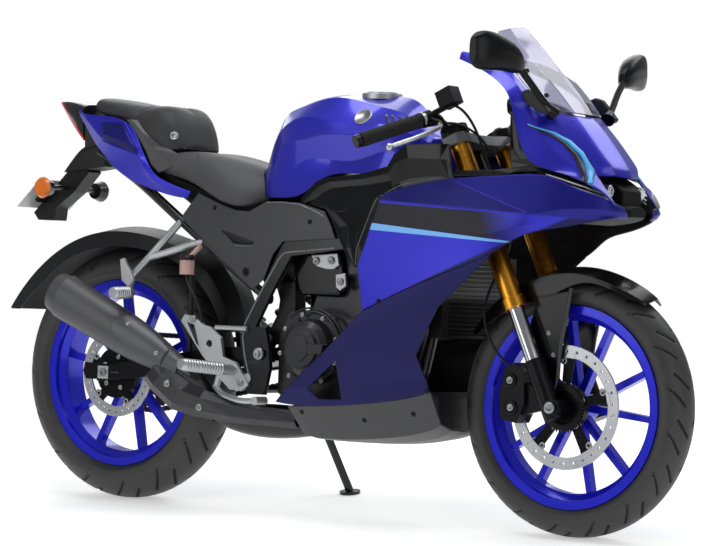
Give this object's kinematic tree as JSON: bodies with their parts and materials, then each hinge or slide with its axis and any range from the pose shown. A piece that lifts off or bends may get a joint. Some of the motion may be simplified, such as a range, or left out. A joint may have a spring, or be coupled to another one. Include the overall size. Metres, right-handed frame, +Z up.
{
  "type": "sport motorcycle",
  "caption": "Faired sport motorcycle leaning on its side stand, with clip-on bars, cast wheels, chain drive, raised pillion seat and underslung plate holder.",
  "frame": {"origin": "centre of the parked machine's footprint box, on the road", "axes": "+X forward, +Y to the rider's left, towards the side stand that it leans on, +Z up"},
  "size_m": [2.0097, 0.7614, 1.1643],
  "materials": {
    "blue_paint": "satin metallic blue",
    "wheel_blue": "gloss blue",
    "tyre_rubber": "matt black",
    "frame_black": "satin black",
    "cast_dark": "dark grey cast",
    "gold": "gold anodised",
    "bright_steel": "polished",
    "disc_steel": "ground",
    "silver_cast": "satin cast",
    "black_plastic": "fine grain",
    "grey_plastic": "dark grey fine grain",
    "seat_vinyl": "grey vinyl",
    "soft_rubber": "matt",
    "chain_steel": "oiled",
    "smoked_screen": "smoked clear",
    "lamp_red": "clear red",
    "lamp_amber": "clear amber",
    "lamp_lens": "dark lens",
    "plate_silver": "plain silver",
    "fluid_cup": "translucent"
  },
  "bodies": {
    "chassis": {"drive_chain": "chain_steel", "main_frame": "frame_black", "side_covers": "grey_plastic", "side_fairing_right": "blue_paint", "side_fairing_left": "blue_paint", "tail_cowls": "blue_paint", "tail_lamp": "lamp_red", "fuel_tank": "blue_paint", "fuel_cap": "silver_cast", "rider_seat": "seat_vinyl", "pillion_seat": "seat_vinyl", "rear_subframe": "frame_black", "undertail": "black_plastic", "engine": "cast_dark", "engine_covers": "cast_dark", "radiator": "cast_dark", "exhaust_pipe": "frame_black", "muffler": "frame_black", "swingarm": "frame_black", "rear_axle": "bright_steel", "rear_shock": "frame_black", "rear_hugger": "black_plastic", "inner_covers": "black_plastic", "belly_pan": "grey_plastic", "plate_holder": "black_plastic", "number_plate": "plate_silver", "turn_signals": "lamp_amber", "nose_cowl": "blue_paint", "headlamps": "lamp_lens", "windscreen": "smoked_screen", "cockpit": "black_plastic", "mirrors": "black_plastic", "rider_footrests": "silver_cast", "pillion_footrests": "silver_cast", "rear_caliper": "frame_black", "brake_reservoir": "fluid_cup", "muffler_guard": "cast_dark"},
    "steering": {"yokes": "frame_black", "fork_tubes": "gold", "fork_stanchions": "bright_steel", "fork_feet": "frame_black", "front_axle": "bright_steel", "handlebars": "frame_black", "grips": "soft_rubber", "levers": "silver_cast", "front_fender": "black_plastic", "front_caliper": "frame_black"},
    "front_wheel": {"front_tyre": "tyre_rubber", "front_rim": "wheel_blue", "front_disc": "disc_steel"},
    "rear_wheel": {"rear_tyre": "tyre_rubber", "rear_rim": "wheel_blue", "rear_disc": "disc_steel", "rear_sprocket": "disc_steel"},
    "side_stand": {"side_stand": "frame_black"}
  },
  "joints": [
    {"name": "steering_turn", "type": "hinge", "parent": "chassis", "child": "steering", "pos_m": [0.38593, -0.01185, 0.8699], "axis": [-0.4224, 0.1418, 0.8952], "range_deg": [-30, 30]},
    {"name": "front_wheel_spin", "type": "hinge", "parent": "steering", "child": "front_wheel", "pos_m": [0.70889, -0.10321, 0.29302], "axis": [0, 0.9877, -0.1564], "continuous": true},
    {"name": "rear_wheel_spin", "type": "hinge", "parent": "chassis", "child": "rear_wheel", "pos_m": [-0.61631, -0.10039, 0.31107], "axis": [0, 0.9877, -0.1564], "continuous": true},
    {"name": "side_stand_fold", "type": "hinge", "parent": "chassis", "child": "side_stand", "pos_m": [-0.1462, 0.01727, 0.23564], "axis": [0.1515, 0.9317, 0.3301], "range_deg": [0, 102]}
  ]
}
